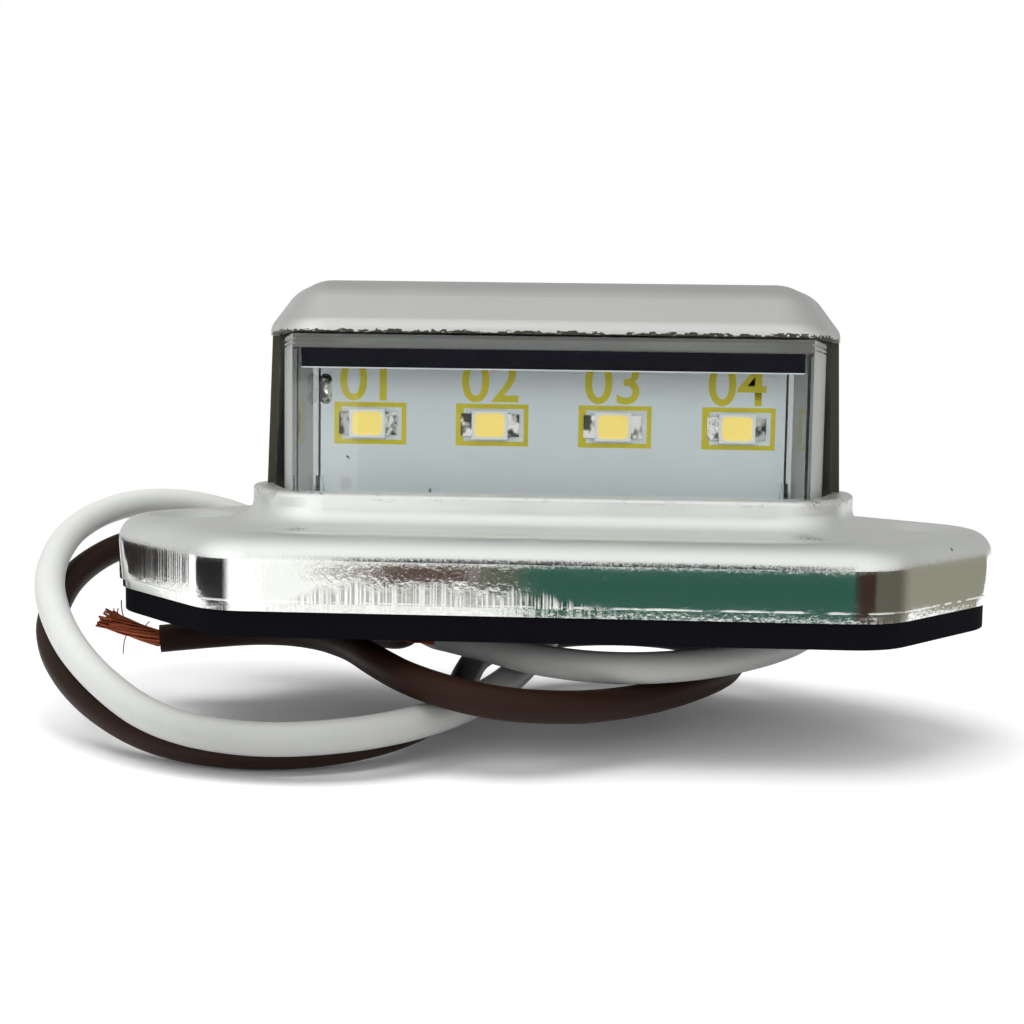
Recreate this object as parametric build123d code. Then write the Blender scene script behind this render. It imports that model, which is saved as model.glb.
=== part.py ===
from build123d import *
import os
from math import atan, pi, radians, sin, tan

# Number plate lamp with four LEDs. +X runs along the lamp, the lens faces -Y and +Z points away from
# the panel. The origin is the middle of the gasket's underside, between the two screw holes.
# All sizes are in millimetres and degrees.

# Gasket under the cover
gasket_thickness = 2.4
gasket_inset = 0.6
gasket_opening_length = 24.0
gasket_opening_width = 15.0
gasket_opening_radius = 4.0

# Pressed metal cover: flange with turned-down skirt, collar and hood
screw_end_distance = 7.0
screw_hole_radius = 2.25
sheet = 0.8
flange_length = 88.0
flange_width = 38.0
flange_height = 7.0
flange_end_radius = 10.0
flange_slant = 48.0
flange_corner_radius = 7.5
rim_radius = 2.3
skirt_step = 0.25
skirt_step_height = 0.8
seat_depth = 0.9
seat_radius = 4.4
seat_angle = 37.0
collar_height = 3.4
collar_ledge = 1.2
collar_flare = 2.0
collar_edge_radius = 0.5
hood_end_land = 14.5
hood_side_land = 6.6
hood_taper = 4.3
hood_height = 20.0
hood_corner_radius = 6.0
hood_side_radius = 8.0
hood_slope_height = 4.2
hood_slope_width = 3.0
hood_shoulder_radius = 1.5
hood_top_radius = 4.0
hood_draft = 2.0
window_height = 14.9
window_back = 0.0

# Base plate that closes the cover from below
base_thickness = 2.5
base_clearance = 0.25
boss_radius = 3.1

# Clear lens
lens_clearance = 0.2
lens_end_gap = 2.2
lens_corner_gap = 1.0
lens_front_gap = 1.1
lens_back = 1.0
lens_wall = 1.3
lens_front_wall = 0.6
lens_top_gap = 0.2
lens_foot_wall = 2.6
lens_groove_depth = 0.2
lens_groove_height = 0.15
lens_groove_pitch = 0.42
lens_groove_count = 2
guide_thickness = 0.8
guide_overlap = 0.4
guide_clearance = 0.1
guide_height = 9.0

# Black baffle strip behind the top of the lens front
baffle_end_gap = 0.75
baffle_height = 1.85
baffle_thickness = 1.0

# Circuit board
board_end_gap = 0.2
board_thickness = 1.2
board_front = -4.6
board_top_gap = 0.1

# LEDs on the front of the board
led_count = 4
led_end_distance = 4.7
led_row_height = 14.2
led_width = 3.5
led_height = 2.8
led_depth = 0.75
phosphor_width = 2.9
phosphor_height = 2.3
phosphor_radius = 0.45
phosphor_depth = 0.4
phosphor_sink = 0.06
solder_reach = 1.1
solder_width = 2.2
solder_climb = 0.45
solder_toe = 0.12

# Parts on the back of the board
resistor_length = 3.2
resistor_width = 1.6
resistor_thickness = 0.6
resistor_spacing = 12.0
resistor_height = 16.0
diode_length = 4.3
diode_width = 2.6
diode_thickness = 2.0
diode_height = 10.0

# Leads, their grommet and their solder joints
lead_diameter = 3.0
conductor_radius = 0.65
tinned_radius = 0.45
lead_joint_gap = 1.0
joint_overhang = 0.5
joint_inboard = 0.5
joint_spacing = 4.4
joint_row_height = 17.5
joint_radius = 1.15
joint_height = 0.6
blob_width = 1.2
blob_length = 3.0
blob_height = 0.5
blob_taper = 35.0
grommet_clearance = 0.05
grommet_wall = 1.2
grommet_lip = 1.0
grommet_lip_thickness = 1.2
grommet_back_gap = 0.25
lead_spacing = 4.6
lead_offset = -11.7
bend_share = 0.45
strand_radius = 0.2
strand_length = 4.6
strand_core_length = 2.0
strand_count = 6
strand_spread = 14.0
strand_ring = 0.43
strand_gap = 0.25

# Lengths and widths that follow from the flange
screw_spacing = flange_length - 2 * screw_end_distance
hood_length = flange_length - 2 * hood_end_land
hood_front_length = hood_length - 2 * hood_taper
hood_depth = flange_width - 2 * hood_side_land
lens_length = hood_length - 2 * lens_end_gap
lens_front_length = hood_front_length - 2 * lens_corner_gap
lens_front = lens_front_gap - hood_depth / 2
baffle_length = lens_front_length - 2 * baffle_end_gap
board_length = lens_front_length - 2 * (lens_wall + board_end_gap)
led_pitch = (board_length - 2 * led_end_distance) / (led_count - 1)
foot_inset = sheet - collar_ledge + lens_clearance
foot_back = hood_depth / 2 - foot_inset - lens_foot_wall
neck_width = lead_diameter + 2 * (grommet_clearance + grommet_wall)
lip_width = neck_width + 2 * grommet_lip

# Heights and places that several pieces share
flange_bottom = gasket_thickness
flange_top = flange_bottom + flange_height
collar_top = flange_top + collar_height
hood_top = collar_top + hood_height
visor_edge = collar_top + window_height
base_top = flange_bottom + base_thickness
seat_floor = flange_top - seat_depth
lens_top = visor_edge - lens_top_gap
lens_ceiling = lens_top - lens_wall
lens_foot_top = collar_top - sheet
board_top = lens_ceiling - board_top_gap
board_back = board_front + board_thickness
led_z = base_top + led_row_height
lead_radius = lead_diameter / 2
lead_start = board_back + lead_joint_gap
screw_places = (-screw_spacing / 2, screw_spacing / 2)
joint_end = -joint_overhang - board_length / 2
joint_places = (joint_end, joint_end + joint_spacing)
joint_z = base_top + joint_row_height
lead_places = (lead_offset - lead_spacing / 2, lead_offset + lead_spacing / 2)
lead_y = foot_back - grommet_back_gap - lip_width / 2

# Routes of the leads: from the board down through the grommet, out behind the lamp, round its left
# end to the front, under it to the right, back to the front, and left under it to the bare end.
brown_route = [
    (joint_places[0], lead_start, joint_z),
    (joint_places[0], 4, joint_z),
    (-19.5, 8, 15.5),
    (lead_places[0], lead_y, 10),
    (lead_places[0], lead_y, -3),
    (-18, 12.5, -5.5),
    (-25, 18, -3.3),
    (-34, 21.5, 1.2),
    (-42, 22, 4.4),
    (-48.7, 18, 4.8),
    (-52.6, 10, 2.2),
    (-52.4, 1, -1.6),
    (-48.9, -6.7, -4.8),
    (-42.7, -13.3, -7.9),
    (-35, -18, -10),
    (-26, -20.3, -10.3),
    (-17.5, -18.7, -9.9),
    (-11.5, -13, -9),
    (-8.9, -5, -8.1),
    (-8.7, 3.5, -7.4),
    (-7.8, 12, -6.7),
    (-3.5, 19, -6.3),
    (3.5, 23, -6),
    (11.5, 22.3, -5.8),
    (17.5, 17, -5.7),
    (20, 9.3, -5.8),
    (18.5, 1.2, -6),
    (14.3, -5.8, -6.2),
    (9, -12.3, -6.3),
    (2.8, -18, -5.9),
    (-4.5, -21, -5),
    (-11.5, -18.2, -3.9),
    (-16, -11.5, -3.4),
    (-19.5, -4.2, -3.2),
    (-24.5, 2.2, -3.2),
    (-31, 7, -3.8),
    (-37, 8, -4.5),
    (-42.3, 6.6, -4.9),
]
white_route = [
    (joint_places[1], lead_start, joint_z),
    (joint_places[1], 4, joint_z),
    (-14, 8, 16),
    (lead_places[1], lead_y, 10),
    (lead_places[1], lead_y, -4),
    (-13.5, 13, -5.2),
    (-21, 20.5, -1.2),
    (-31, 25.5, 4.2),
    (-41, 26, 8.2),
    (-49, 21, 9.2),
    (-53.6, 12, 7),
    (-52.9, 1.5, 2.7),
    (-48.2, -7.5, -1.6),
    (-42, -14.5, -5),
    (-34.5, -20.5, -7.6),
    (-25.5, -23.3, -8.3),
    (-16.5, -22.5, -7.8),
    (-9.5, -17.5, -7.2),
    (-5, -9.5, -6.4),
    (-2.5, -1, -5.6),
    (-1, 7.5, -4.6),
    (1.5, 15.5, -3.4),
    (6.5, 22, -2.6),
    (14, 25, -2.2),
    (22, 23.4, -2),
    (27.3, 17.2, -2),
    (28.4, 9, -2.1),
    (26, 1, -2.3),
    (21, -6, -2.6),
    (14.5, -11.2, -3),
    (6.5, -13.8, -3.1),
    (-1, -10.8, -3),
    (-6, -6, -2.6),
    (-10.5, -3.2, -2.2),
]


def lozenge(half_length, half_front, half_width, side_radius, corner_radius, inset):
    """Six-sided rounded outline, widest across the middle, with every wall moved in by inset."""
    slant = ((half_length - half_front) ** 2 + half_width**2) ** 0.5
    side = half_length - inset * slant / half_width
    width = half_width - inset
    front = side - (half_length - half_front) * width / half_width
    points = [(-front, -width), (front, -width), (side, 0), (front, width), (-front, width), (-side, 0)]
    outline = make_face(Polyline(*points, close=True))
    outline = fillet(outline.vertices().filter_by(lambda v: abs(v.Y) < width / 2), side_radius - inset)
    return fillet(outline.vertices().filter_by(lambda v: abs(v.Y) > 0.9 * width), corner_radius - inset)


def flange_outline(inset):
    nose = flange_length / 2 - flange_end_radius
    tip = nose + flange_end_radius / sin(radians(flange_slant))
    corner = tip - flange_width / 2 / tan(radians(flange_slant))
    return lozenge(tip, corner, flange_width / 2, flange_end_radius, flange_corner_radius, inset)


def hood_outline(inset):
    return lozenge(
        hood_length / 2, hood_front_length / 2, hood_depth / 2, hood_side_radius, hood_corner_radius, inset
    )


def raised(outline, bottom, top):
    """The outline stood up between two heights."""
    return extrude(Pos(0, 0, bottom) * outline, top - bottom)


def front_plate(outline, y, depth):
    """The outline, drawn in X and Z, on the plane at y and thickened towards the lens."""
    return extrude(Plane.XZ.offset(-y) * outline, depth)


def pressed_form(inset):
    """Everything inside the cover's outer surface, or inside its inner surface when inset by the sheet."""
    flange = raised(flange_outline(inset), flange_bottom, flange_top - inset)
    flange = fillet(flange.edges().group_by(Axis.Z)[-1], rim_radius - inset)
    collar = raised(hood_outline(inset - collar_ledge), flange_bottom, collar_top - inset)
    form = flange + collar
    base_edges = form.edges().filter_by_position(Axis.Z, flange_top - inset, flange_top - inset)
    reach_x = hood_length / 2 + 2 * collar_ledge
    reach_y = hood_depth / 2 + collar_ledge
    base_edges = base_edges.filter_by_position(Axis.X, -reach_x, reach_x)
    base_edges = base_edges.filter_by_position(Axis.Y, -reach_y, reach_y)
    form = fillet(base_edges, collar_flare + inset)
    if inset < collar_edge_radius:
        form = fillet(form.edges().group_by(Axis.Z)[-1], collar_edge_radius - inset)
    lean = tan(radians(hood_draft))
    slope = atan(hood_slope_width / hood_slope_height)
    shoulder = hood_top - hood_slope_height - inset * tan(slope / 2)
    crown_inset = hood_height * lean + hood_slope_width + inset * tan((pi / 2 - slope) / 2)
    sections = [
        Pos(0, 0, collar_top - inset) * hood_outline(inset),
        Pos(0, 0, shoulder) * hood_outline(inset + (hood_height - hood_slope_height) * lean),
        Pos(0, 0, hood_top - inset) * hood_outline(crown_inset),
    ]
    hood = loft(sections, ruled=True)
    hood = fillet(hood.edges().group_by(Axis.Z)[-1], hood_top_radius - inset)
    shoulder_edges = hood.edges().filter_by_position(Axis.Z, shoulder, shoulder)
    form += fillet(shoulder_edges, hood_shoulder_radius - inset)
    rim = seat_radius + inset * tan(radians(seat_angle / 2))
    floor = rim - seat_depth / tan(radians(seat_angle))
    seat = Cone(floor, rim, seat_depth, align=(Align.CENTER, Align.CENTER, Align.MIN))
    for x in screw_places:
        form -= Pos(x, 0, seat_floor - inset) * seat
    return form


def screw_holes(bottom, top):
    hole = Cylinder(screw_hole_radius, top - bottom, align=(Align.CENTER, Align.CENTER, Align.MIN))
    return [Pos(x, 0, bottom) * hole for x in screw_places]


def lens_outline(inset, back):
    """Plan of the lens body: flat front, slanted ends and square back."""
    half = lens_length / 2
    front = lens_front_length / 2
    slant = ((half - front) ** 2 + lens_front**2) ** 0.5
    side = half - inset * slant / abs(lens_front)
    near = lens_front + inset
    corner = side - (half - front) * near / lens_front
    right = [(corner, near), (side, 0), (side, back)]
    left = [(-x, y) for x, y in reversed(right)]
    return make_face(Polyline(*right, *left, close=True))


def wall_middle(y):
    """X of the middle of the lens's slanted end wall at y."""
    return lens_length / 2 - (lens_length - lens_front_length) / 2 * y / lens_front - lens_wall / 2


# Cover: one sheet pressed to the outer form, with the window cut out of the hood's front half, the
# opening for the lens cut through the collar's ledge, and a small step along the skirt's lower edge.
cover = pressed_form(0) - pressed_form(sheet)
window = Box(hood_length, hood_depth, window_height, align=(Align.CENTER, Align.MAX, Align.MIN))
cover -= Pos(0, window_back, collar_top) * window
cover -= raised(lens_outline(-lens_clearance, lens_back), lens_foot_top, collar_top)
skirt_groove = flange_outline(-skirt_step) - flange_outline(skirt_step)
cover -= raised(skirt_groove, flange_bottom, flange_bottom + skirt_step_height)
for hole in screw_holes(flange_bottom, flange_top):
    cover -= hole


def along_y(x, z, start, start_radius, end, end_radius):
    """Cone or rod that runs from one y to another."""
    if start_radius == end_radius:
        rod = Cylinder(start_radius, end - start, align=(Align.CENTER, Align.CENTER, Align.MIN))
    else:
        rod = Cone(start_radius, end_radius, end - start, align=(Align.CENTER, Align.CENTER, Align.MIN))
    return Pos(x, start, z) * Rot(X=-90) * rod


def back_block(length, height, depth, x, z):
    """Block mounted on the back of the board."""
    block = Box(length, depth, height, align=(Align.CENTER, Align.MIN, Align.CENTER))
    return Pos(x, board_back, z) * block


def solder_fillet(x, side):
    """Wedge of solder from one end of an LED down to its pad; side is -1 or 1."""
    inner = x + side * led_width / 2
    outer = inner + side * solder_reach
    profile = make_face(
        Polyline(
            (inner, board_front),
            (outer, board_front),
            (outer, board_front - solder_toe),
            (inner, board_front - solder_climb),
            close=True,
        )
    )
    return raised(profile, led_z - solder_width / 2, led_z + solder_width / 2)


def lead(name, route):
    """Insulated lead as a tube along straight runs and tangent arcs."""
    radii = []
    for before, corner, after in zip(route, route[1:], route[2:]):
        arriving = Vector(*corner) - Vector(*before)
        leaving = Vector(*after) - Vector(*corner)
        half_turn = radians(arriving.get_angle(leaving)) / 2
        radii.append(bend_share * min(arriving.length, leaving.length) / tan(half_turn))
    path = FilletPolyline(*route, radius=radii)
    section = Plane(origin=path @ 0, z_dir=path % 0) * Circle(lead_radius)
    tube = sweep(section, path=path)
    section_volume = pi * lead_radius**2 * path.length
    print(name, "bend radii", [round(radius, 1) for radius in radii])
    print(name, "length", round(path.length, 1), "volume", round(tube.volume), "of", round(section_volume))
    return tube


def bare_strands(route, aim, spread):
    """Bare end of a lead: a twisted core, and strands that fan out from it along aim."""
    aim = Vector(*aim).normalized()
    place = Plane(origin=Vector(*route[-1]) + aim * strand_gap, z_dir=aim)
    standing = (Align.CENTER, Align.CENTER, Align.MIN)
    rods = [place * Cylinder(conductor_radius, strand_core_length, align=standing)]
    strand = Cylinder(strand_radius, strand_length, align=standing)
    root = Pos(strand_ring, 0, strand_core_length + strand_gap)
    for index in range(strand_count):
        turn = 360 * index / strand_count
        tilt = spread * (1 + index % 3) / 3
        rods.append(place * Rot(Z=turn) * root * Rot(Y=tilt) * strand)
    return Compound([rod.solid() for rod in rods])


# Base plate: flat plastic plate inside the skirt, with a boss under each screw seat.
base = raised(flange_outline(sheet + base_clearance), flange_bottom, base_top)
boss = Cylinder(boss_radius, seat_floor - sheet - base_top, align=(Align.CENTER, Align.CENTER, Align.MIN))
for x in screw_places:
    base += Pos(x, 0, base_top) * boss
for hole in screw_holes(flange_bottom, seat_floor):
    base -= hole

# Grommet: rubber bush through the base plate with a lip above and below it and a bore for each lead.
grommet_place = Pos(lead_offset, lead_y)
neck = grommet_place * SlotCenterToCenter(lead_spacing, neck_width)
lip = grommet_place * SlotCenterToCenter(lead_spacing, lip_width)
grommet_bottom = flange_bottom - grommet_lip_thickness
grommet_top = base_top + grommet_lip_thickness
base -= raised(neck, flange_bottom, base_top)
grommet = raised(neck, flange_bottom, base_top)
grommet += raised(lip, grommet_bottom, flange_bottom)
grommet += raised(lip, base_top, grommet_top)
for x in lead_places:
    bore = Pos(x, lead_y) * Circle(lead_radius + grommet_clearance)
    grommet -= raised(bore, grommet_bottom, grommet_top)

# Gasket: foam sheet under the skirt, open round the grommet.
gasket = raised(flange_outline(gasket_inset), 0, gasket_thickness)
opening = grommet_place * RectangleRounded(
    gasket_opening_length, gasket_opening_width, gasket_opening_radius
)
gasket -= raised(opening, 0, gasket_thickness)
for hole in screw_holes(0, gasket_thickness):
    gasket -= hole

# Lens: clear moulding with a hollow foot under the collar's ledge, a body open at the back, two fine
# grooves round its top edge, a thin front with a solid rib behind each end, and guides for the board.
foot = raised(hood_outline(foot_inset), base_top, lens_foot_top)
foot -= raised(hood_outline(foot_inset + lens_foot_wall), base_top, lens_foot_top)
body = raised(lens_outline(0, lens_back), base_top, lens_top)
for index in range(lens_groove_count):
    groove_top = lens_top - (index + 1) * lens_groove_pitch
    groove = lens_outline(-lens_groove_depth, lens_back) - lens_outline(lens_groove_depth, lens_back)
    body -= raised(groove, groove_top - lens_groove_height, groove_top)
lens = foot + body
lens -= raised(lens_outline(lens_wall, lens_back), base_top, lens_ceiling)
guide_tip = board_length / 2 - guide_overlap
guide_offset = guide_clearance + guide_thickness / 2
rib_front = lens_front + lens_front_wall
rib_back = board_front - guide_clearance
rib_face = board_length / 2 + board_end_gap
rib = [
    (wall_middle(rib_front), rib_front),
    (rib_face, rib_back),
    (wall_middle(rib_back), rib_back),
]
rib = raised(make_face(Polyline(*rib, close=True)), base_top, lens_ceiling)
lens += rib
lens += mirror(rib, about=Plane.YZ)
pocket = [(wall_middle(rib_front), rib_front), (rib_face, rib_back)]
pocket += [(-x, y) for x, y in reversed(pocket)]
lens -= raised(make_face(Polyline(*pocket, close=True)), base_top, lens_ceiling)
for y in (board_front - guide_offset, board_back + guide_offset):
    guide = Pos(guide_tip, y, base_top) * Box(
        wall_middle(y) - guide_tip, guide_thickness, guide_height, align=(Align.MIN, Align.CENTER, Align.MIN)
    )
    lens += guide
    lens += mirror(guide, about=Plane.YZ)

# Baffle: black strip against the inside of the lens front, up under its ceiling.
baffle = Pos(0, rib_front, lens_ceiling) * Box(
    baffle_length, baffle_thickness, baffle_height, align=(Align.CENTER, Align.MIN, Align.MAX)
)

# Board: stands on the base plate between the lens guides.
board = Pos(0, board_front, base_top) * Box(
    board_length, board_thickness, board_top - base_top, align=(Align.CENTER, Align.MIN, Align.MIN)
)

# LEDs: white housings with a pocket of phosphor, and a solder fillet at each end.
housings = []
phosphors = []
fillets = []
for index in range(led_count):
    x = (index - (led_count - 1) / 2) * led_pitch
    pocket = Pos(x, led_z) * RectangleRounded(phosphor_width, phosphor_height, phosphor_radius)
    pocket_floor = board_front - led_depth + phosphor_depth
    housing = front_plate(Pos(x, led_z) * Rectangle(led_width, led_height), board_front, led_depth)
    housings.append(housing - front_plate(pocket, pocket_floor, phosphor_depth))
    phosphors.append(front_plate(pocket, pocket_floor, phosphor_depth - phosphor_sink))
    fillets += [solder_fillet(x, side).solid() for side in (-1, 1)]

# Lead joints: the brown lead's core passes the end of the board to a blob of solder on its front, and
# the white lead is soldered to a pad on its back.
blob_place = joint_inboard - board_length / 2
blob = Pos(blob_place, joint_z) * SlotOverall(blob_length, blob_width, rotation=90)
front_joint = extrude(Plane.XZ.offset(-board_front) * blob, blob_height, taper=blob_taper)
front_joint += along_y(joint_places[0], joint_z, board_front, tinned_radius, lead_start, tinned_radius)
back_joint = along_y(
    joint_places[1], joint_z, board_back, joint_radius, board_back + joint_height, tinned_radius
)
back_joint += along_y(joint_places[1], joint_z, board_back, tinned_radius, lead_start, tinned_radius)

# Parts on the back of the board
resistors = [
    back_block(resistor_length, resistor_width, resistor_thickness, x, base_top + resistor_height)
    for x in (0, resistor_spacing)
]
diode = back_block(
    diode_length, diode_width, diode_thickness, resistor_spacing / 2, base_top + diode_height
)

# Leads and their bare ends
white_lead = lead("white lead", white_route)
brown_lead = lead("brown lead", brown_route)
brown_strands = bare_strands(brown_route, (-6.4, -0.6, 2.2), strand_spread)
white_strands = bare_strands(white_route, (-6, 2.2, 0.2), strand_spread / 2)

nodes = {
    "cover_shell": cover,
    "lens": lens,
    "baffle_strip": baffle,
    "circuit_board": board,
    "led_solder_joints": Compound(fillets),
    "lead_solder_joints": Compound([front_joint.solid(), back_joint.solid()]),
    "resistor_1": resistors[0],
    "resistor_2": resistors[1],
    "protection_diode": diode,
    "base_plate": base,
    "wire_grommet": grommet,
    "gasket": gasket,
    "white_lead": white_lead,
    "brown_lead": brown_lead,
    "white_lead_strands": white_strands,
    "brown_lead_strands": brown_strands,
}
for index in range(led_count):
    nodes[f"led_housing_{index + 1}"] = housings[index]
    nodes[f"led_phosphor_{index + 1}"] = phosphors[index]

os.makedirs("parts", exist_ok=True)
for name, shape in nodes.items():
    export_step(shape, f"parts/{name}.step")
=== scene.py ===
import math
import random
import bmesh
import bpy
from mathutils import Matrix, Vector


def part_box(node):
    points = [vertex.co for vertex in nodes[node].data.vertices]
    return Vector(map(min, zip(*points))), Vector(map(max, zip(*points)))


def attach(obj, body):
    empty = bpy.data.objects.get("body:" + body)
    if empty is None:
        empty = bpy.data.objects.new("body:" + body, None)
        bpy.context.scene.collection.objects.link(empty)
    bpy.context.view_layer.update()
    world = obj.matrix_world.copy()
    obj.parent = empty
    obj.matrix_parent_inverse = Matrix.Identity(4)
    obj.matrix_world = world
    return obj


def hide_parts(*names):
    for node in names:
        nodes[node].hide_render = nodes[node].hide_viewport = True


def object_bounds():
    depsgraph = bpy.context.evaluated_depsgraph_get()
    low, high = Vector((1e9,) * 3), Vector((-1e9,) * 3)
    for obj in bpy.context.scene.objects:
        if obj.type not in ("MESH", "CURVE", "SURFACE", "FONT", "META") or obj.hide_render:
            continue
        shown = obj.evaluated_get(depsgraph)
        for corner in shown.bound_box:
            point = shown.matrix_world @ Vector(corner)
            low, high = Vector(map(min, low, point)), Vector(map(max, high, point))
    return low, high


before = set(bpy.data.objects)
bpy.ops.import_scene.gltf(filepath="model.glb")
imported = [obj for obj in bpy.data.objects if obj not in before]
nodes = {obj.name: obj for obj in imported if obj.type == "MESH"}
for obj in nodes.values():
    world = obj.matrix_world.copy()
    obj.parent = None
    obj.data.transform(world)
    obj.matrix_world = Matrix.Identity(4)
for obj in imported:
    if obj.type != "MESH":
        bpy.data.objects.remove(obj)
cad_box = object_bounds()
scene = bpy.context.scene
scene.view_settings.view_transform = "Standard"


# Camera: it stands 140 mm in front of the lens and a little to the right, just above the collar, tips
# down slightly and leans a little to one side.
camera_data = bpy.data.cameras.new("camera")
camera_data.lens = 48.49
camera_data.clip_start = 0.005
camera_turn = math.radians(2.455)
camera_tip = math.radians(90 - 4.771)
camera_lean = math.radians(0.863)
camera = bpy.data.objects.new("camera", camera_data)
camera.matrix_world = (
    Matrix.Translation((0.00208, -0.13996, 0.02188))
    @ Matrix.Rotation(camera_turn, 4, "Z")
    @ Matrix.Rotation(camera_tip, 4, "X")
    @ Matrix.Rotation(camera_lean, 4, "Z")
)
scene.collection.objects.link(camera)
scene.camera = camera


# Floor and studio: a white table top that fades into a white surround, a large softbox overhead, a weak one
# on the right and one in front. Tinted cards stand round the lamp; only its metal and its lens show them.
def add_node(tree, kind, inputs, **settings):
    """Adds a shader node; each input is a value or the output that feeds it."""
    made = tree.nodes.new("ShaderNode" + kind)
    for key, value in settings.items():
        setattr(made, key, value)
    for key, value in inputs.items():
        if isinstance(value, bpy.types.NodeSocket):
            tree.links.new(value, made.inputs[key])
        else:
            made.inputs[key].default_value = value
    return made


def blend_value(tree, factor, first, second):
    return add_node(tree, "Mix", {0: factor, 2: first, 3: second}).outputs[0]


def blend_shader(tree, factor, first, second):
    return add_node(tree, "MixShader", {0: factor, 1: first, 2: second}).outputs[0]


def combine(tree, operation, first, second=0.5):
    return add_node(tree, "Math", {0: first, 1: second}, operation=operation).outputs[0]


def span(tree, value, start, stop, low=0.0, high=1.0):
    """Eases from low to high as value goes from start to stop."""
    inputs = {"Value": value, "From Min": start, "From Max": stop, "To Min": low, "To Max": high}
    return add_node(tree, "MapRange", inputs, interpolation_type="SMOOTHSTEP").outputs[0]


def object_place(tree):
    return add_node(tree, "TexCoord", {}).outputs["Object"]


def axes_of(tree, vector):
    return add_node(tree, "SeparateXYZ", {0: vector}).outputs


def seen_directly(tree):
    """One for what the camera sees, straight or through glass."""
    rays = add_node(tree, "LightPath", {}).outputs
    return combine(tree, "MAXIMUM", rays["Is Camera Ray"], rays["Is Transmission Ray"])


def new_material(name):
    material = bpy.data.materials.new(name)
    material.use_nodes = True
    return material


def shader_of(material):
    return material.node_tree.nodes["Principled BSDF"]


def set_surface(tree, surface):
    tree.links.new(surface, tree.nodes["Material Output"].inputs["Surface"])


def link_data(name, data):
    made = bpy.data.objects.new(name, data)
    scene.collection.objects.link(made)
    return made


floor_gap = 0.0002
fade_start, fade_stop = 0.035, 0.12
floor_mesh = bpy.data.meshes.new("floor")
floor_form = bmesh.new()
bmesh.ops.create_grid(floor_form, x_segments=1, y_segments=1, size=3.0)
bmesh.ops.translate(floor_form, verts=floor_form.verts, vec=(0, 0, cad_box[0].z - floor_gap))
floor_form.to_mesh(floor_mesh)
floor_form.free()
floor = link_data("floor", floor_mesh)
floor_paint = new_material("floor_white")
shader = shader_of(floor_paint)
shader.inputs["Base Color"].default_value = (0.94, 0.94, 0.94, 1)
shader.inputs["Roughness"].default_value = 0.7
shader.inputs["Specular IOR Level"].default_value = 0.1
tree = floor_paint.node_tree
floor_reach = add_node(tree, "VectorMath", {0: object_place(tree)}, operation="LENGTH").outputs["Value"]
floor_fade = combine(tree, "MULTIPLY", span(tree, floor_reach, fade_start, fade_stop), seen_directly(tree))
floor_glow = add_node(tree, "Emission", {"Color": (1, 1, 1, 1), "Strength": 1.0}).outputs[0]
set_surface(tree, blend_shader(tree, floor_fade, shader.outputs[0], floor_glow))
floor_mesh.materials.append(floor_paint)

front_level, back_level = 1.0, 0.46
left_gain = 1.35
world = bpy.data.worlds.new("studio")
scene.world = world
world.use_nodes = True
tree = world.node_tree
sky_axes = axes_of(tree, add_node(tree, "TexCoord", {}).outputs["Generated"])
sky_side = span(tree, sky_axes["X"], -0.9, 0.1, left_gain, 1.0)
sky_depth = span(tree, sky_axes["Y"], -0.9, 0.3, front_level, back_level)
sky_level = combine(tree, "MULTIPLY", sky_depth, sky_side)
sky_strength = blend_value(tree, seen_directly(tree), sky_level, 1.0)
tree.links.new(sky_strength, tree.nodes["Background"].inputs["Strength"])
tree.nodes["Background"].inputs["Color"].default_value = (1, 1, 1, 1)


def softbox(name, place, target, width, height, power):
    lamp = bpy.data.lights.new(name, "AREA")
    lamp.shape = "RECTANGLE"
    lamp.size = width
    lamp.size_y = height
    lamp.energy = power
    made = link_data(name, lamp)
    made.location = place
    made.rotation_euler = (Vector(target) - Vector(place)).to_track_quat("-Z", "Y").to_euler()
    made.visible_glossy = False


softbox("key_light", (-0.12, -0.06, 0.50), (0, 0, 0.01), width=0.50, height=0.45, power=2.4)
softbox("fill_light", (0.40, -0.20, 0.40), (0, 0, 0.01), width=0.40, height=0.40, power=0.5)
softbox("front_light", (0.0, -0.42, 0.12), (0, 0, 0.02), width=0.30, height=0.20, power=0.36)


def vector_math(tree, operation, first, second):
    return add_node(tree, "VectorMath", {0: first, 1: second}, operation=operation).outputs


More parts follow.
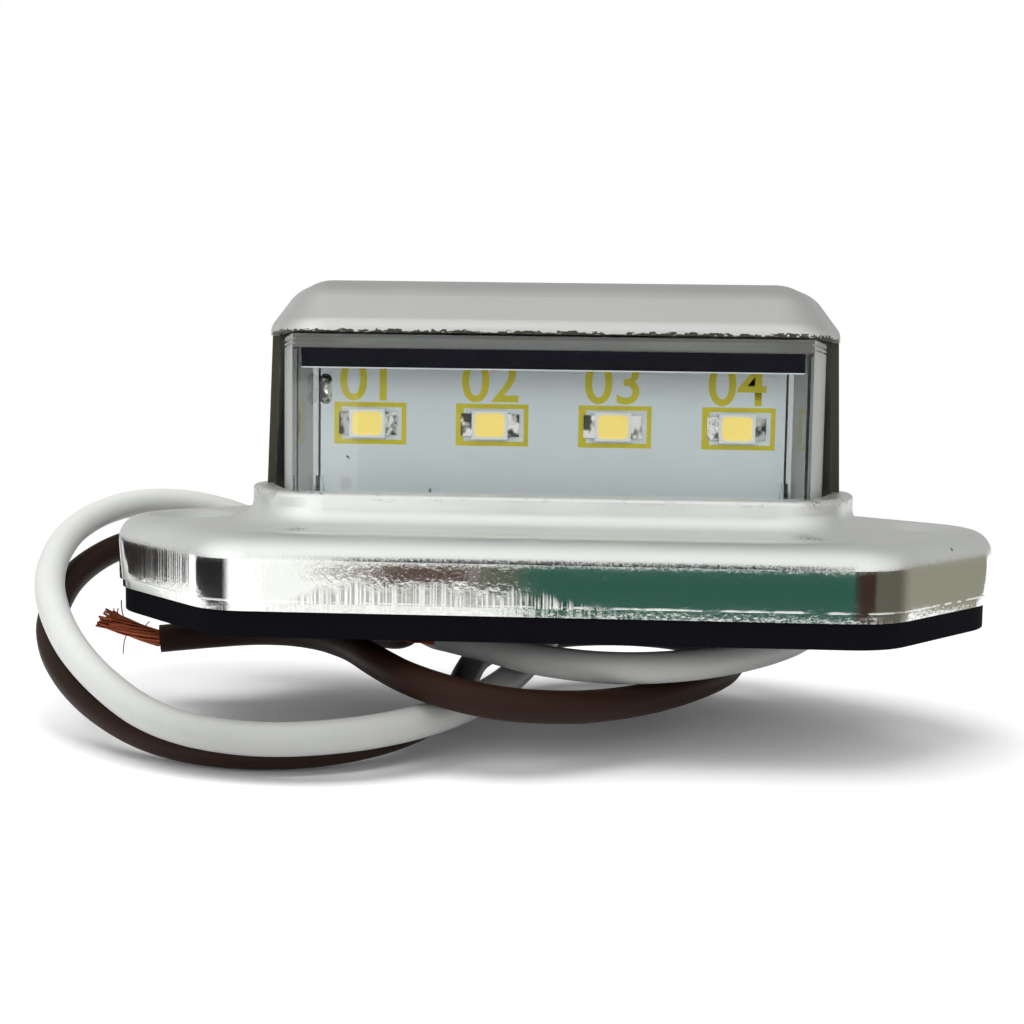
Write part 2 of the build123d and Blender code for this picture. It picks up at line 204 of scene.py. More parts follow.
def upright_card(name, start, end, low, high, tint, soft_start, soft_end, in_glass=False):
    """Upright card from start to end, seen from above; the camera can't see it, and its soft ends fade."""
    start, end = Vector(start), Vector(end)
    run = end - start
    middle = (start + end) / 2
    mesh = bpy.data.meshes.new(name)
    form = bmesh.new()
    bmesh.ops.create_grid(form, x_segments=1, y_segments=1, size=0.5)
    bmesh.ops.rotate(form, verts=form.verts, matrix=Matrix.Rotation(math.pi / 2, 3, "X"))
    bmesh.ops.scale(form, verts=form.verts, vec=(run.length, 1, high - low))
    bmesh.ops.rotate(form, verts=form.verts, matrix=Matrix.Rotation(math.atan2(run.y, run.x), 3, "Z"))
    bmesh.ops.translate(form, verts=form.verts, vec=(middle.x, middle.y, (low + high) / 2))
    form.to_mesh(mesh)
    form.free()
    paint = new_material(name)
    tree = paint.node_tree
    from_start = vector_math(tree, "SUBTRACT", object_place(tree), (*start, 0))[0]
    along = vector_math(tree, "DOT_PRODUCT", from_start, (*run.normalized(), 0))["Value"]
    fade_in = span(tree, along, 0.0, soft_start)
    fade_out = span(tree, along, run.length - soft_end, run.length, 1.0, 0.0)
    clear = add_node(tree, "BsdfTransparent", {}).outputs[0]
    glow = add_node(tree, "Emission", {"Color": (*tint, 1), "Strength": 1.0}).outputs[0]
    set_surface(tree, blend_shader(tree, combine(tree, "MULTIPLY", fade_in, fade_out), clear, glow))
    mesh.materials.append(paint)
    card = link_data(name, mesh)
    card.visible_camera = False
    card.visible_diffuse = False
    card.visible_shadow = False
    card.visible_transmission = in_glass


card_foot = cad_box[0].z
hard_end = 0.00001
paper_tint = (1.1, 1.1, 1.08)
upright_card("dark_card", (-0.054, -0.150), (0.052, -0.150), 0.002, 0.036, (0.01, 0.01, 0.012),
             hard_end, hard_end, in_glass=True)
for name, start, end, (low, high), tint, (soft_start, soft_end) in (
    ("paper_card", (-0.046, -0.106), (-0.003, -0.106), (card_foot, 0.001),
     paper_tint, (hard_end, hard_end)),
    ("high_paper_card", (-0.047, -0.107), (-0.033, -0.107), (0.000, 0.024),
     paper_tint, (hard_end, hard_end)),
    ("thin_brown_card", (-0.041, -0.105), (-0.022, -0.105), (-0.0057, -0.0043),
     (0.12, 0.07, 0.04), (0.010, 0.004)),
    ("brown_card", (-0.031, -0.104), (-0.010, -0.104), (-0.0067, -0.0031),
     (0.055, 0.011, 0.0), (0.007, 0.004)),
    ("olive_card", (-0.014, -0.105), (-0.002, -0.105), (-0.0076, -0.0030),
     (0.075, 0.085, 0.050), (0.003, hard_end)),
    ("teal_card", (-0.008, -0.104), (0.072, -0.104), (card_foot, -0.0015),
     (0.025, 0.10, 0.072), (0.005, hard_end)),
    ("dark_right_card", (0.046, -0.105), (0.092, -0.079), (card_foot, 0.002),
     (0.045, 0.026, 0.018), (0.018, 0.012)),
    ("umber_card", (0.0852, -0.096), (0.122, 0.010), (card_foot, 0.006),
     (0.120, 0.115, 0.088), (hard_end, 0.045)),
    ("beige_card", (0.091, -0.084), (0.152, 0.088), (card_foot, 0.008),
     (0.31, 0.30, 0.24), (hard_end, hard_end)),
    ("dark_left_card", (-0.066, -0.084), (-0.130, -0.010), (-0.0090, 0.004),
     (0.015, 0.015, 0.016), (0.022, hard_end)),
    ("dim_left_card", (-0.130, 0.020), (-0.140, 0.100), (-0.0100, 0.004),
     (0.02, 0.016, 0.016), (hard_end, hard_end)),
):
    upright_card(name, start, end, low, high, tint, soft_start, soft_end)


# Gasket: a die-cut sheet of closed-cell foam rubber that seals the flange to the panel. The screws
# squeeze it, and it is open round the leads.
def noise(tree, place, scale, detail):
    return add_node(tree, "TexNoise", {"Vector": place, "Scale": scale, "Detail": detail}).outputs[0]


def surface_grain():
    """Group that mottles a colour and gives a moulded or cellular surface its roughness and relief."""
    group = bpy.data.node_groups.new("surface_grain", "ShaderNodeTree")
    for name, kind in (("Colour", "Color"), ("Mottle", "Float"), ("Grain", "Float"), ("Depth", "Float"),
                       ("Roughness", "Float"), ("Spread", "Float")):
        group.interface.new_socket(name, in_out="INPUT", socket_type="NodeSocket" + kind)
    for name, kind in (("Colour", "Color"), ("Roughness", "Float"), ("Normal", "Vector")):
        group.interface.new_socket(name, in_out="OUTPUT", socket_type="NodeSocket" + kind)
    given = group.nodes.new("NodeGroupInput").outputs
    result = group.nodes.new("NodeGroupOutput").inputs
    place = object_place(group)
    fine = noise(group, place, given["Grain"], 3.0)
    broad = noise(group, place, combine(group, "MULTIPLY", given["Grain"], 0.08), 4.0)
    half_fine = combine(group, "MULTIPLY", fine, 0.5)
    half_broad = combine(group, "MULTIPLY", broad, 0.5)
    mixed = combine(group, "ADD", half_fine, half_broad)
    lean = combine(group, "MULTIPLY", combine(group, "SUBTRACT", mixed, 0.5), given["Mottle"])
    bright = combine(group, "ADD", lean, 1.0)
    tinted = add_node(group, "VectorMath", {0: given["Colour"], "Scale": bright}, operation="SCALE")
    rough_lean = combine(group, "MULTIPLY", combine(group, "SUBTRACT", broad, 0.5), given["Spread"])
    relief = add_node(group, "Bump", {"Height": fine, "Distance": given["Depth"], "Strength": 1.0})
    group.links.new(tinted.outputs[0], result["Colour"])
    group.links.new(combine(group, "ADD", given["Roughness"], rough_lean), result["Roughness"])
    group.links.new(relief.outputs[0], result["Normal"])
    return group


grain_group = surface_grain()


def grained_material(name, colour, mottle, grain, depth, roughness, spread):
    """Material with the grain group on its colour, roughness and normal."""
    material = new_material(name)
    tree = material.node_tree
    shader = shader_of(material)
    grain_node = tree.nodes.new("ShaderNodeGroup")
    grain_node.node_tree = grain_group
    values = ((*colour, 1), mottle, grain, depth, roughness, spread)
    for key, value in zip(("Colour", "Mottle", "Grain", "Depth", "Roughness", "Spread"), values):
        grain_node.inputs[key].default_value = value
    tree.links.new(grain_node.outputs["Colour"], shader.inputs["Base Color"])
    tree.links.new(grain_node.outputs["Roughness"], shader.inputs["Roughness"])
    tree.links.new(grain_node.outputs["Normal"], shader.inputs["Normal"])
    return material


def dress(name, material):
    """Gives a CAD node its material."""
    mesh = nodes[name].data
    mesh.materials.clear()
    mesh.materials.append(material)


gasket_foam = grained_material("gasket_foam", (0.0032, 0.003, 0.0045), mottle=0.9, grain=2600,
                               depth=0.00006, roughness=0.85, spread=0.15)
shader_of(gasket_foam).inputs["Specular IOR Level"].default_value = 0.04
dress("gasket", gasket_foam)


# Base plate: a flat moulding in black plastic that closes the cover from below, with a boss under each
# screw seat. A soft rubber grommet snaps into it and seals the two leads.
base_plastic = grained_material("base_plastic", (0.022, 0.022, 0.024), mottle=0.5, grain=1800,
                                depth=0.00002, roughness=0.5, spread=0.12)
dress("base_plate", base_plastic)
grommet_rubber = grained_material("grommet_rubber", (0.018, 0.017, 0.017), mottle=0.6, grain=1400,
                                  depth=0.00002, roughness=0.68, spread=0.12)
dress("wire_grommet", grommet_rubber)


# Leads: two single-core wires in soft PVC, soldered to the board, led out through the grommet and left
# loose. They go behind the lamp, round its left end, under it to the right and back to the front.
# The white one is painted darker towards and under the lamp, as painted shade from the lamp above it.
lead_diameter = 0.0030
brown_route = [
    (-0.0232, -0.0024, 0.0224), (-0.0232, 0.0040, 0.0224), (-0.0195, 0.0080, 0.0155),
    (-0.0140, 0.0060, 0.0100), (-0.0140, 0.0060, -0.0030), (-0.0180, 0.0125, -0.0055),
    (-0.0250, 0.0180, -0.0033), (-0.0340, 0.0215, 0.0012), (-0.0420, 0.0220, 0.0044),
    (-0.0487, 0.0180, 0.0048), (-0.0526, 0.0100, 0.0022), (-0.0524, 0.0010, -0.0016),
    (-0.0489, -0.0067, -0.0048), (-0.0427, -0.0133, -0.0079), (-0.0350, -0.0180, -0.0100),
    (-0.0260, -0.0203, -0.0103), (-0.0175, -0.0187, -0.0099), (-0.0115, -0.0130, -0.0090),
    (-0.0089, -0.0050, -0.0081), (-0.0087, 0.0035, -0.0074), (-0.0078, 0.0120, -0.0067),
    (-0.0035, 0.0190, -0.0063), (0.0035, 0.0230, -0.0060), (0.0115, 0.0223, -0.0058),
    (0.0175, 0.0170, -0.0057), (0.0200, 0.0093, -0.0058), (0.0185, 0.0012, -0.0060),
    (0.0143, -0.0058, -0.0062), (0.0090, -0.0123, -0.0063), (0.0028, -0.0180, -0.0059),
    (-0.0045, -0.0210, -0.0050), (-0.0115, -0.0182, -0.0039), (-0.0160, -0.0115, -0.0034),
    (-0.0195, -0.0042, -0.0032), (-0.0245, 0.0022, -0.0032), (-0.0310, 0.0070, -0.0038),
    (-0.0370, 0.0080, -0.0045), (-0.0423, 0.0066, -0.0049),
]
white_route = [
    (-0.0188, -0.0024, 0.0224), (-0.0188, 0.0040, 0.0224), (-0.0140, 0.0080, 0.0160),
    (-0.0094, 0.0060, 0.0100), (-0.0094, 0.0060, -0.0040), (-0.0135, 0.0130, -0.0052),
    (-0.0210, 0.0205, -0.0012), (-0.0310, 0.0255, 0.0042), (-0.0410, 0.0260, 0.0082),
    (-0.0490, 0.0210, 0.0092), (-0.0536, 0.0120, 0.0070), (-0.0529, 0.0015, 0.0027),
    (-0.0482, -0.0075, -0.0016), (-0.0420, -0.0145, -0.0050), (-0.0345, -0.0205, -0.0076),
    (-0.0255, -0.0233, -0.0083), (-0.0165, -0.0225, -0.0078), (-0.0095, -0.0175, -0.0072),
    (-0.0050, -0.0095, -0.0064), (-0.0025, -0.0010, -0.0056), (-0.0010, 0.0075, -0.0046),
    (0.0015, 0.0155, -0.0034), (0.0065, 0.0220, -0.0026), (0.0140, 0.0250, -0.0022),
    (0.0220, 0.0234, -0.0020), (0.0273, 0.0172, -0.0020), (0.0284, 0.0090, -0.0021),
    (0.0260, 0.0010, -0.0023), (0.0210, -0.0060, -0.0026), (0.0145, -0.0112, -0.0030),
    (0.0065, -0.0138, -0.0031), (-0.0010, -0.0108, -0.0030), (-0.0060, -0.0060, -0.0026),
    (-0.0105, -0.0032, -0.0022),
]


def strand_curve(name, routes, thickness, material):
    """Round wires along smooth curves that have the routes' points as control points."""
    curve = bpy.data.curves.new(name, "CURVE")
    curve.dimensions = "3D"
    for route in routes:
        spline = curve.splines.new("NURBS")
        spline.points.add(len(route) - 1)
        for point, place in zip(spline.points, route):
            point.co = (*place, 1)
        spline.order_u = 3
        spline.use_endpoint_u = True
    curve.resolution_u = 10
    curve.bevel_depth = thickness / 2
    curve.bevel_resolution = 8
    curve.use_fill_caps = True
    curve.materials.append(material)
    return link_data(name, curve)


def blend_colour(tree, factor, first, second):
    return add_node(tree, "Mix", {0: factor, 6: first, 7: second}, data_type="RGBA").outputs[2]


def tint_over(material, mask, tint):
    """Lays a tint over a material's colour, as much as the mask says."""
    tree = material.node_tree
    tone = shader_of(material).inputs["Base Color"]
    tree.links.new(blend_colour(tree, mask, tone.links[0].from_socket, (*tint, 1)), tone)


white_pvc = grained_material("white_pvc", (0.52, 0.53, 0.51), mottle=0.14, grain=1500,
                             depth=0.000008, roughness=0.45, spread=0.15)
tree = white_pvc.node_tree
# Painted shade: the white lead darkens from beyond the lamp's left end inwards, where it lies under the
# lamp.
unshaded_until, shaded_from = -0.048, -0.026
painted_lamp_shade = span(tree, axes_of(tree, object_place(tree))["X"], unshaded_until, shaded_from, 0.0, 0.46)
tint_over(white_pvc, painted_lamp_shade, (0.03, 0.033, 0.03))
brown_pvc = grained_material("brown_pvc", (0.017, 0.0072, 0.0045), mottle=0.4, grain=1500,
                             depth=0.000008, roughness=0.5, spread=0.15)
shader_of(brown_pvc).inputs["Specular IOR Level"].default_value = 0.1
white_lead = strand_curve("white_lead_wire", [white_route], lead_diameter, white_pvc)
brown_lead = strand_curve("brown_lead_wire", [brown_route], lead_diameter, brown_pvc)
for lead, colour in ((white_lead, "white"), (brown_lead, "brown")):
    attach(lead, "root")
    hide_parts(f"{colour}_lead")


# Bare ends: the insulation is stripped for a few millimetres and the fine copper strands are twisted
# into a bundle. At the front a few strands have come loose and stand out.
strand_count = 44
strand_thickness = 0.00025
loose_thickness = 0.00013
bundle_radius = 0.00088
bundle_twist = 1.6
strand_spread = 0.00016
strand_steps = 6
strand_turn = 2.4
bundle_sag = 0.0006
copper = grained_material("bare_copper", (0.33, 0.090, 0.042), mottle=1.5, grain=2600,
                          depth=0.00002, roughness=0.38, spread=0.25)
shader_of(copper).inputs["Metallic"].default_value = 1.0


def finish_mesh(name, form, material):
    """Makes a piece of a bmesh and lets it ride on the lamp."""
    mesh = bpy.data.meshes.new(name)
    form.to_mesh(mesh)
    form.free()
    mesh.materials.append(material)
    made = link_data(name, mesh)
    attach(made, "root")
    return made


def bare_bundle(name, root, aim, seed, loose_ends=()):
    """Twisted strands from root along aim, with a loose strand to each of the loose ends."""
    chance = random.Random(seed)
    root, aim = Vector(root), Vector(aim)
    side = aim.cross(Vector((0, 0, 1))).normalized()
    rise = side.cross(aim).normalized()
    routes = []
    for index in range(strand_count):
        angle = strand_turn * index
        ring = bundle_radius * math.sqrt((index + 0.5) / strand_count)
        reach = chance.uniform(0.74, 1.04)
        route = []
        for step in range(strand_steps + 1):
            along = step / strand_steps
            turn = angle + bundle_twist * along
            radius = ring * (1 - 0.5 * along + 0.6 * along**2) + chance.uniform(0, strand_spread) * along
            lift = bundle_sag * along * (along - 0.9)
            spoke = side * math.cos(turn) + rise * math.sin(turn)
            route.append(root + aim * (reach * along) + spoke * radius + rise * lift)
        routes.append(route)
    loose_routes = []
    for leave, end in loose_ends:
        start = root + aim * leave
        bend = start + aim * 0.12 + (Vector(end) - start) * 0.35
        loose_routes.append([root + aim * (leave / 2), start, bend, Vector(end)])
    form = bmesh.new()
    for thickness, group in ((strand_thickness, routes), (loose_thickness, loose_routes)):
        bundle = strand_curve(name, group, thickness, copper)
        bundle.data.bevel_resolution = 1
        bundle.data.resolution_u = 4
        bpy.context.view_layer.update()
        form.from_mesh(bundle.to_mesh())
        bpy.data.objects.remove(bundle)
    for face in form.faces:
        face.smooth = True
    return finish_mesh(name, form, copper)


brown_bundle = bare_bundle(
    "brown_lead_bare_end", (-0.0421, 0.0066, -0.0049), (-0.0064, -0.0006, 0.0023), seed=5,
    loose_ends=[
        (0.5, (-0.0466, 0.0068, -0.0008)), (0.6, (-0.0468, 0.0063, -0.0016)),
        (0.65, (-0.0474, 0.0067, -0.0017)), (0.2, (-0.0434, 0.0064, -0.0030)),
        (0.45, (-0.0463, 0.0063, -0.0066)),
    ],
)
white_bundle = bare_bundle(
    "white_lead_bare_end", (-0.0103, -0.0033, -0.0022), (-0.0060, 0.0022, 0.0002), seed=9,
)
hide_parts("brown_lead_strands")
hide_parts("white_lead_strands")


# Circuit board: glass-fibre board with a pale solder mask that stands behind the lens, with two specks and
# a faint smudge on it. Each LED place has a printed frame with a thick end, and a plain place number
# above it.
board_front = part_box("circuit_board")[0].y
board_mask = grained_material("board_mask", (0.71, 0.765, 0.78), mottle=0.14, grain=420,
                              depth=0.000004, roughness=0.45, spread=0.1)
tree = board_mask.node_tree
ragged_by = 0.0008
board_place = object_place(tree)
stray = add_node(tree, "TexNoise", {"Vector": board_place, "Scale": 2600, "Detail": 3.0}).outputs[1]
stray = vector_math(tree, "ADD", stray, (-0.5, -0.5, -0.5))[0]
stray = add_node(tree, "VectorMath", {0: stray, "Scale": ragged_by}, operation="SCALE").outputs[0]
ragged_place = vector_math(tree, "ADD", board_place, stray)[0]
for x, z, reach, tint in ((-0.0200, 0.0157, 0.00032, (0.02, 0.02, 0.02)),
                          (-0.0119, 0.0126, 0.00022, (0.04, 0.04, 0.04)),
                          (-0.0202, 0.0131, 0.00095, (0.60, 0.63, 0.63))):
    spot = vector_math(tree, "DISTANCE", ragged_place, (x, board_front, z))["Value"]
    tint_over(board_mask, span(tree, spot, reach * 0.3, reach, 1.0, 0.0), tint)
dress("circuit_board", board_mask)

led_count = 4
led_pitch = 0.012
led_row = 0.0191
ink_height = 0.00002
frame_width = 0.0071
frame_height = 0.0041
frame_bar = 0.00045
frame_thick_end = 0.0003
frame_shift = 0.0002
number_size = 0.0058
number_boldness = 0.00006
number_rise = 0.0023
print_ink = grained_material("print_ink", (0.66, 0.57, 0.035), mottle=0.5, grain=900,
                             depth=0.000004, roughness=0.6, spread=0.1)


def face_forward(form, x, z):
    """Turns flat work to face the lens and sets it on the front of the board."""
    bmesh.ops.rotate(form, verts=form.verts, matrix=Matrix.Rotation(math.pi / 2, 3, "X"))
    bmesh.ops.translate(form, verts=form.verts, vec=(x, board_front - ink_height, z))


for index in range(led_count):
    x = (index - (led_count - 1) / 2) * led_pitch
    form = bmesh.new()
    bmesh.ops.create_grid(form, x_segments=1, y_segments=1, size=0.5)
    bmesh.ops.scale(form, verts=form.verts, vec=(frame_width, frame_height, 1))
    opening = form.faces[:]
    bmesh.ops.inset_region(form, faces=opening, thickness=frame_bar, use_boundary=True, use_even_offset=True)
    for vert in opening[0].verts:
        if vert.co.x < 0:
            vert.co.x += frame_thick_end
    bmesh.ops.delete(form, geom=opening, context="FACES_ONLY")
    face_forward(form, x + frame_shift, led_row)
    finish_mesh(f"print_frame_{index + 1}", form, print_ink)
    lettering = bpy.data.curves.new("number", "FONT")
    lettering.body = f"0{index + 1}"
    lettering.size = number_size
    lettering.offset = number_boldness
    lettering.align_x = "CENTER"
    lettering.fill_mode = "FRONT"
    holder = link_data("number", lettering)
    bpy.context.view_layer.update()
    form = bmesh.new()
    form.from_mesh(holder.to_mesh())
    bpy.data.objects.remove(holder)
    face_forward(form, x, led_row + number_rise)
    finish_mesh(f"print_number_{index + 1}", form, print_ink)


# LEDs: white moulded housings with a pocket of yellow phosphor in clear silicone, held by a fillet of
# tin solder at each end. Dark flux is left on the solder, here and where the leads are soldered on.
led_white = grained_material("led_white", (0.84, 0.85, 0.82), mottle=0.10, grain=900,
                             depth=0.000004, roughness=0.35, spread=0.1)
phosphor = grained_material("phosphor", (1.0, 0.77, 0.16), mottle=0.35, grain=500,
                            depth=0.00001, roughness=0.40, spread=0.15)
# Painted glow: the phosphor gets a faint warm emission of its own, though the LEDs are not lit.
shader_of(phosphor).inputs["Emission Color"].default_value = (1.0, 0.82, 0.36, 1)
shader_of(phosphor).inputs["Emission Strength"].default_value = 0.18
for index in range(led_count):
    dress(f"led_housing_{index + 1}", led_white)
    dress(f"led_phosphor_{index + 1}", phosphor)
tin_solder = grained_material("tin_solder", (0.74, 0.73, 0.70), mottle=0.5, grain=1300,
                              depth=0.00009, roughness=0.16, spread=0.2)
shader_of(tin_solder).inputs["Metallic"].default_value = 1.0
tree = tin_solder.node_tree
flux = span(tree, noise(tree, object_place(tree), 560, 3.0), 0.44, 0.56)
tint_over(tin_solder, flux, (0.072, 0.077, 0.060))
dress("led_solder_joints", tin_solder)
dress("lead_solder_joints", tin_solder)


# Parts on the back of the board: two thick-film resistors and a diode moulded in black epoxy. They are
# soldered flat on the board, behind the LEDs.
component_black = grained_material("component_black", (0.02, 0.02, 0.021), mottle=0.6, grain=2400,
                                   depth=0.00001, roughness=0.45, spread=0.15)
for name in ("resistor_1", "resistor_2", "protection_diode"):
    dress(name, component_black)


# Baffle: a strip of matt black tape behind the top of the lens that keeps the light off the visor. Its cut
# lower edge is pale, and it lies a hair's breadth clear of the lens.
edge_low, edge_high = 0.02442, 0.02447
baffle_black = grained_material("baffle_black", (0.008, 0.008, 0.012), mottle=0.5, grain=2000,
                                depth=0.00001, roughness=0.5, spread=0.1)
tree = baffle_black.node_tree
pale_edge = span(tree, axes_of(tree, object_place(tree))["Z"], edge_low, edge_high, 1.0, 0.0)
tint_over(baffle_black, pale_edge, (0.75, 0.78, 0.78))
shader_of(baffle_black).inputs["Specular IOR Level"].default_value = 0.05
dress("baffle_strip", baffle_black)
clear_of_lens = nodes["baffle_strip"].modifiers.new("clear_of_lens", "DISPLACE")
clear_of_lens.strength = -0.00003
clear_of_lens.mid_level = 0.0


# Lens: clear acrylic moulding that stands in the collar, held down by its ledge. It is open at the back,
# its slanted ends are left satin by the mould, and its top edge is slightly milky.
satin_from = 0.0239
top_low, top_high = 0.02622, 0.02630
lens_clear = new_material("lens_clear")
tree = lens_clear.node_tree
shader = shader_of(lens_clear)
shader.inputs["Base Color"].default_value = (0.97, 0.985, 0.985, 1)
shader.inputs["IOR"].default_value = 1.49
shader.inputs["Transmission Weight"].default_value = 1.0
lens_facing = axes_of(tree, add_node(tree, "NewGeometry", {}).outputs["Normal"])["X"]
lens_axes = axes_of(tree, object_place(tree))
end_face = combine(tree, "GREATER_THAN", combine(tree, "ABSOLUTE", lens_facing), 0.85)
end_place = combine(tree, "GREATER_THAN", combine(tree, "ABSOLUTE", lens_axes["X"]), satin_from)
satin_end = combine(tree, "MULTIPLY", end_face, end_place)
tree.links.new(span(tree, satin_end, 0.0, 1.0, 0.02, 0.5), shader.inputs["Roughness"])
milky = add_node(tree, "BsdfDiffuse", {"Color": (0.52, 0.53, 0.50, 1)}).outputs[0]
top_strip = span(tree, lens_axes["Z"], top_low, top_high, 0.0, 0.14)
milky_share = combine(tree, "MAXIMUM", combine(tree, "MULTIPLY", satin_end, 0.55), top_strip)
lens_body = blend_shader(tree, milky_share, shader.outputs[0], milky)
shadow_ray = add_node(tree, "LightPath", {}).outputs["Is Shadow Ray"]
clear_way = add_node(tree, "BsdfTransparent", {"Color": (0.96, 0.98, 0.98, 1)}).outputs[0]
set_surface(tree, blend_shader(tree, shadow_ray, lens_body, clear_way))
dress("lens", lens_clear)


# Cover: one bright metal pressing. The hood and the flange's top are satin, the skirt still has the die's
# polish with upright draw marks from its lower edge, and the window's sheared edges are ragged and painted
# dark, partly for the torn metal and partly as painted shade.
polish_full, polish_none = 0.0066, 0.0081
mark_foot = 0.0032
step_height = 0.0034
window_cut = 0.0277
cover_metal = new_material("cover_metal")
tree = cover_metal.node_tree
shader = shader_of(cover_metal)
shader.inputs["Metallic"].default_value = 1.0
place = object_place(tree)
axes = axes_of(tree, place)


def stretched_place(scale):
    return add_node(tree, "Mapping", {"Vector": place, "Scale": scale}).outputs[0]


def both(first, second):
    return combine(tree, "MULTIPLY", first, second)


def either(first, second):
    return combine(tree, "MAXIMUM", first, second)


# The polish ends at a slightly broken line under the rim. The draw marks run up from a step near the
# lower edge, are longest left of the middle, and cover the left end, where they fade towards the far end as
# painted reflection, so that the end is painted darker there.
broken = span(tree, noise(tree, place, 5200, 3.0), 0.3, 0.7, -0.0002, 0.0002)
skirt = span(tree, combine(tree, "ADD", axes["Z"], broken), polish_full, polish_none, 1.0, 0.0)
upright_place = stretched_place((1, 1, 0))
columns = span(tree, noise(tree, upright_place, 4200, 2.0), 0.44, 0.60)
marks_begin = span(tree, axes["X"], -0.0250, -0.0180, 0.1, 1.0)
marks_end = span(tree, axes["X"], -0.0070, 0.0110, 1.0, 0.06)
mark_length = span(tree, noise(tree, upright_place, 800, 3.0), 0.30, 0.70, 0.0016, 0.0028)
mark_reach = both(mark_length, both(marks_begin, marks_end))
mark_left = combine(tree, "SUBTRACT", combine(tree, "ADD", mark_reach, mark_foot), axes["Z"])
above_step = span(tree, axes["Z"], mark_foot - 0.0001, mark_foot + 0.0001, 0.3, 1.0)
scored = both(span(tree, mark_left, 0.0, 0.0012), above_step)
# Painted highlight: a thin brighter, rougher line along the step's edge, added to the draw marks.
step_distance = combine(tree, "ABSOLUTE", combine(tree, "SUBTRACT", axes["Z"], step_height))
painted_step_highlight = span(tree, step_distance, 0.00004, 0.00012, 0.8, 0.0)
step_highlight_marks = both(painted_step_highlight, span(tree, noise(tree, place, 420, 3.0), 0.36, 0.60))
# Painted reflection: the end's draw marks thin out towards the far left so that the end reads darker there.
end_painted_fade = span(tree, axes["X"], -0.0415, -0.0335, 0.06, 0.60)
end_stop = span(tree, axes["X"], -0.0330, -0.0315, 1.0, 0.0)
end_marks = both(columns, both(end_painted_fade, end_stop))
marks = both(skirt, either(either(both(columns, scored), step_highlight_marks), end_marks))

# Satin grain above the polish, and a faint orange peel and the marks' furrows in it.
cloud = noise(tree, place, 110, 5.0)
satin_rough = span(tree, cloud, 0.3, 0.7, 0.36, 0.46)
polish_rough = span(tree, axes["X"], -0.0300, -0.0265, 0.08, 0.06)
skirt_rough = blend_value(tree, marks, polish_rough, 0.32)
rough = blend_value(tree, skirt, satin_rough, skirt_rough)
broad_peel = both(noise(tree, place, 700, 4.0), 0.5)
fine_peel = both(noise(tree, place, 2400, 2.0), 0.4)
satin_grain = noise(tree, place, 2600, 3.0)
grain_height = blend_value(tree, skirt, satin_grain, combine(tree, "ADD", broad_peel, fine_peel))
relief = combine(tree, "ADD", grain_height, both(marks, 0.25))
bump = add_node(tree, "Bump", {"Height": relief, "Distance": 0.000012, "Strength": 1.0})
tree.links.new(bump.outputs[0], shader.inputs["Normal"])

# The shear left a torn line with bright chips over the window, and bare cut faces at its sides. Both are
# painted dark, for the torn metal and as painted shade of the edge's underside and of the gap beside the
# lens.
burr_place = stretched_place((0.45, 1, 1))
above_cut = combine(tree, "SUBTRACT", axes["Z"], window_cut)
fine_tear = both(noise(tree, burr_place, 3400, 4.0), 0.6)
broad_tear = both(noise(tree, place, 260, 2.0), 0.4)
torn = combine(tree, "ADD", fine_tear, broad_tear)
burr_top = span(tree, torn, 0.36, 0.66, 0.00006, 0.00038)
under_top = combine(tree, "LESS_THAN", above_cut, burr_top)
over_foot = combine(tree, "GREATER_THAN", above_cut, -0.0002)
in_front = combine(tree, "LESS_THAN", axes["Y"], -0.003)
burr = both(both(under_top, over_foot), in_front)
bright_chips = span(tree, noise(tree, burr_place, 3600, 2.0), 0.58, 0.64, 1.0, 0.0)
facing = axes_of(tree, add_node(tree, "NewGeometry", {}).outputs["Normal"])
near_cut = combine(tree, "LESS_THAN", combine(tree, "ABSOLUTE", axes["Y"]), 0.0002)
cut_face = both(combine(tree, "LESS_THAN", facing["Y"], -0.9), near_cut)
raw_edge_and_shade = either(both(burr, bright_chips), cut_face)

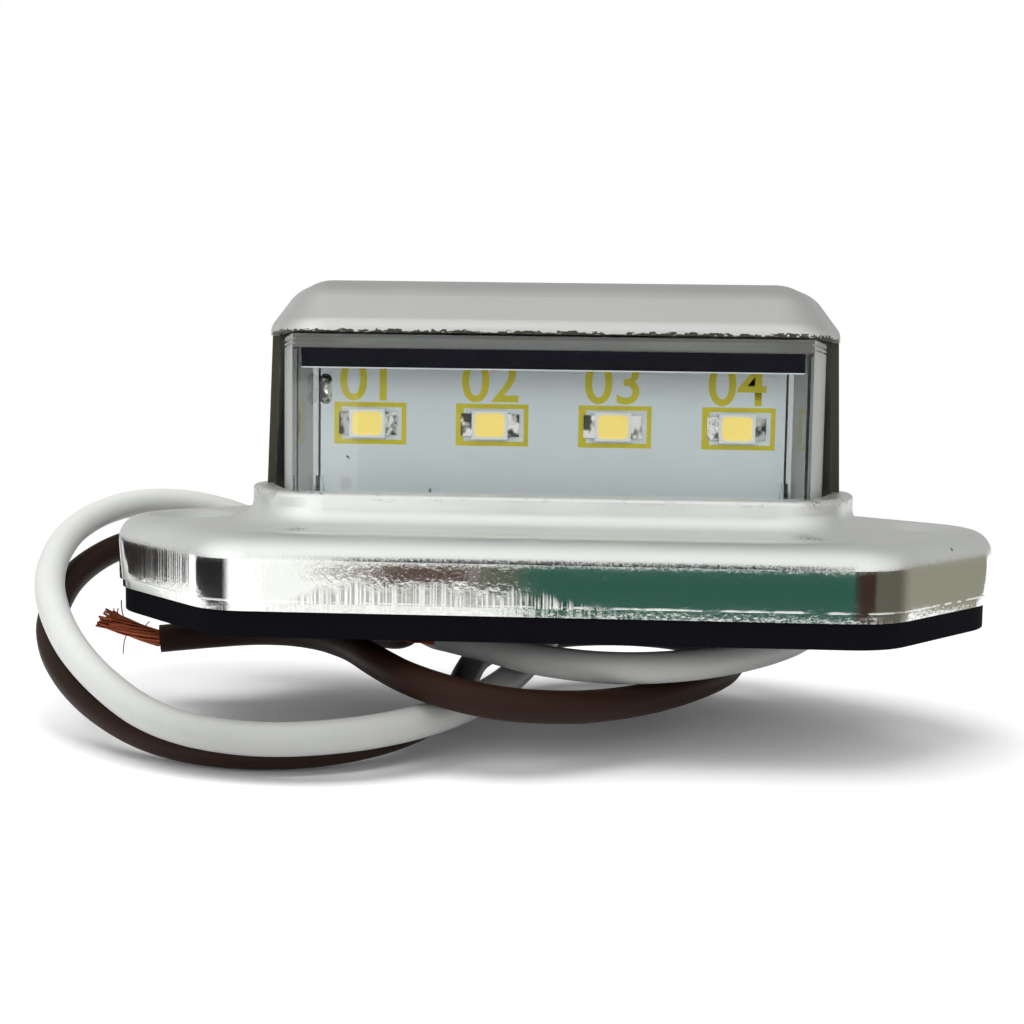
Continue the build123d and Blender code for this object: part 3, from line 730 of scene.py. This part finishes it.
# Scuffs along the collar's edge, darker patches at its corners and foot, and a dark speck on the flange's
# top right.
collar_low = span(tree, axes["Z"], 0.0118, 0.0123)
collar_high = span(tree, axes["Z"], 0.0128, 0.0131, 1.0, 0.0)
collar_ends = span(tree, combine(tree, "ABSOLUTE", axes["X"]), 0.012, 0.027, 0.12, 0.85)
scuff_grain = span(tree, noise(tree, burr_place, 2600, 3.0), 0.56, 0.64)
scuff_patches = span(tree, noise(tree, place, 150, 2.0), 0.45, 0.60)
scuffs_and_patches = both(both(both(collar_low, collar_high), collar_ends), both(scuff_grain, scuff_patches))
patch_grain = span(tree, noise(tree, place, 5200, 3.0), 0.34, 0.74)
for x, y, z, reach, stretch, share in (
    (0.0246, -0.0126, 0.0126, 0.0010, 0.40, 0.90), (0.0240, -0.0147, 0.0094, 0.0011, 0.45, 1.05),
    (-0.0233, -0.0149, 0.0094, 0.0009, 0.50, 0.85), (-0.0262, -0.0115, 0.0125, 0.0008, 0.60, 0.75),
    (0.0376, -0.0104, 0.0083, 0.0003, 1.0, 3.0),
):
    spot = vector_math(tree, "DISTANCE", stretched_place((stretch, 1, 1)), (stretch * x, y, z))["Value"]
    scuffs_and_patches = either(scuffs_and_patches, both(patch_grain, span(tree, spot, 0.0, reach, share, 0.0)))

bright = blend_colour(tree, cloud, (0.82, 0.845, 0.815, 1), (0.88, 0.895, 0.865, 1))
# Painted shade: above the collar the hood gets a darker grey than the flange, though it is the same satin
# metal.
hood_painted_darker = blend_colour(tree, span(tree, axes["Z"], 0.0124, 0.0134), bright, (0.68, 0.69, 0.665, 1))
dulled = blend_colour(tree, both(scored, 0.75), hood_painted_darker, (0.30, 0.30, 0.28, 1))
streaked_and_highlit = blend_colour(tree, marks, dulled, (0.93, 0.93, 0.91, 1))
scuffed_and_patched = blend_colour(tree, scuffs_and_patches, streaked_and_highlit, (0.16, 0.155, 0.13, 1))
sheared_and_shaded = blend_colour(tree, raw_edge_and_shade, scuffed_and_patched, (0.075, 0.070, 0.052, 1))
tree.links.new(sheared_and_shaded, shader.inputs["Base Color"])
tree.links.new(blend_value(tree, raw_edge_and_shade, rough, 0.6), shader.inputs["Roughness"])
dress("cover_shell", cover_metal)
